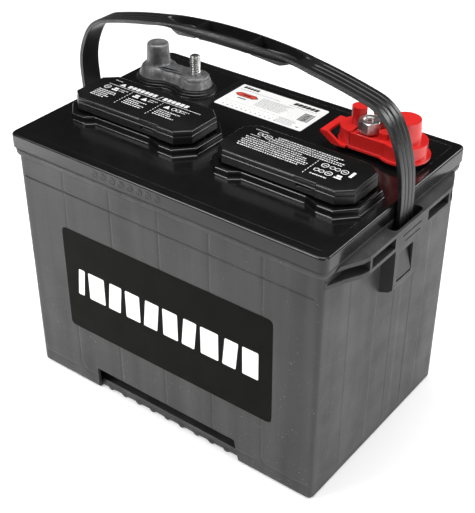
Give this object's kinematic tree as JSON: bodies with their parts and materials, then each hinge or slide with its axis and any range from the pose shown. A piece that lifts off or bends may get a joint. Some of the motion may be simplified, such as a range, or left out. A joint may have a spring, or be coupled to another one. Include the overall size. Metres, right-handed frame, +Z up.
{
  "type": "deep cycle battery",
  "caption": "Flooded deep cycle battery: ribbed plastic case, lid with gang vent caps, post-and-stud terminals, a red lift-off terminal cover and a strap handle.",
  "frame": {"origin": "bottom centre of the case, on the surface it stands on", "axes": "+X along the case towards the positive terminal, +Y towards the side with the terminals, +Z up"},
  "size_m": [0.2784, 0.173, 0.2764],
  "materials": {
    "case_plastic": "satin moulded polypropylene, dark grey",
    "lid_plastic": "gloss moulded polypropylene, black",
    "cap_plastic": "satin moulded plastic, black",
    "handle_plastic": "satin ribbed plastic, black",
    "red_plastic": "gloss soft plastic, red",
    "lead": "dull cast lead alloy",
    "steel": "zinc-plated steel",
    "gasket": "black rubber",
    "porous_disc": "sintered porous plastic, off-white",
    "front_print": null,
    "top_print": null,
    "positive_plate": "lead dioxide paste on a lead grid, dark brown",
    "negative_plate": "sponge lead on a lead grid, grey",
    "separator": "microporous sheet, off-white"
  },
  "bodies": {
    "battery": {"case": "case_plastic", "bracket_left": "case_plastic", "bracket_right": "case_plastic", "cover": "lid_plastic", "negative_terminal": "lead", "negative_stud": "steel", "negative_seal": "gasket", "negative_cell_post": "lead", "positive_terminal": "lead", "positive_stud": "steel", "positive_seal": "gasket", "positive_cell_post": "lead", "front_label": "front_print", "top_label": "top_print", "intercell_welds": "lead", "positive_plates_1": "positive_plate", "negative_plates_1": "negative_plate", "separators_1": "separator", "positive_plates_2": "positive_plate", "negative_plates_2": "negative_plate", "separators_2": "separator", "positive_plates_3": "positive_plate", "negative_plates_3": "negative_plate", "separators_3": "separator", "positive_plates_4": "positive_plate", "negative_plates_4": "negative_plate", "separators_4": "separator", "positive_plates_5": "positive_plate", "negative_plates_5": "negative_plate", "separators_5": "separator", "positive_plates_6": "positive_plate", "negative_plates_6": "negative_plate", "separators_6": "separator"},
    "vent_cap_left": {"vent_cap_left_body": "cap_plastic", "vent_cap_left_top": "cap_plastic", "vent_cap_left_orings": "gasket", "vent_cap_left_discs": "porous_disc"},
    "vent_cap_right": {"vent_cap_right_body": "cap_plastic", "vent_cap_right_top": "cap_plastic", "vent_cap_right_orings": "gasket", "vent_cap_right_discs": "porous_disc"},
    "terminal_cover": {"terminal_cover": "red_plastic"},
    "stored_hex_nut": {"stored_hex_nut": "steel"},
    "stored_wing_nut": {"stored_wing_nut": "steel"},
    "handle": {"handle": "handle_plastic"}
  },
  "joints": [
    {"name": "vent_cap_left_lift", "type": "slide", "parent": "battery", "child": "vent_cap_left", "axis": [0, 0, 1], "range_m": [0, 0.03]},
    {"name": "vent_cap_right_lift", "type": "slide", "parent": "battery", "child": "vent_cap_right", "axis": [0, 0, 1], "range_m": [0, 0.03]},
    {"name": "terminal_cover_lift", "type": "slide", "parent": "battery", "child": "terminal_cover", "axis": [0, 0, 1], "range_m": [0, 0.04]},
    {"name": "stored_hex_nut_lift", "type": "slide", "parent": "terminal_cover", "child": "stored_hex_nut", "axis": [0, 0, 1], "range_m": [0, 0.012]},
    {"name": "stored_wing_nut_lift", "type": "slide", "parent": "terminal_cover", "child": "stored_wing_nut", "axis": [0, 0, 1], "range_m": [0, 0.012]},
    {"name": "handle_lift", "type": "slide", "parent": "battery", "child": "handle", "axis": [0, 0, 1], "range_m": [0, 0.011]}
  ]
}
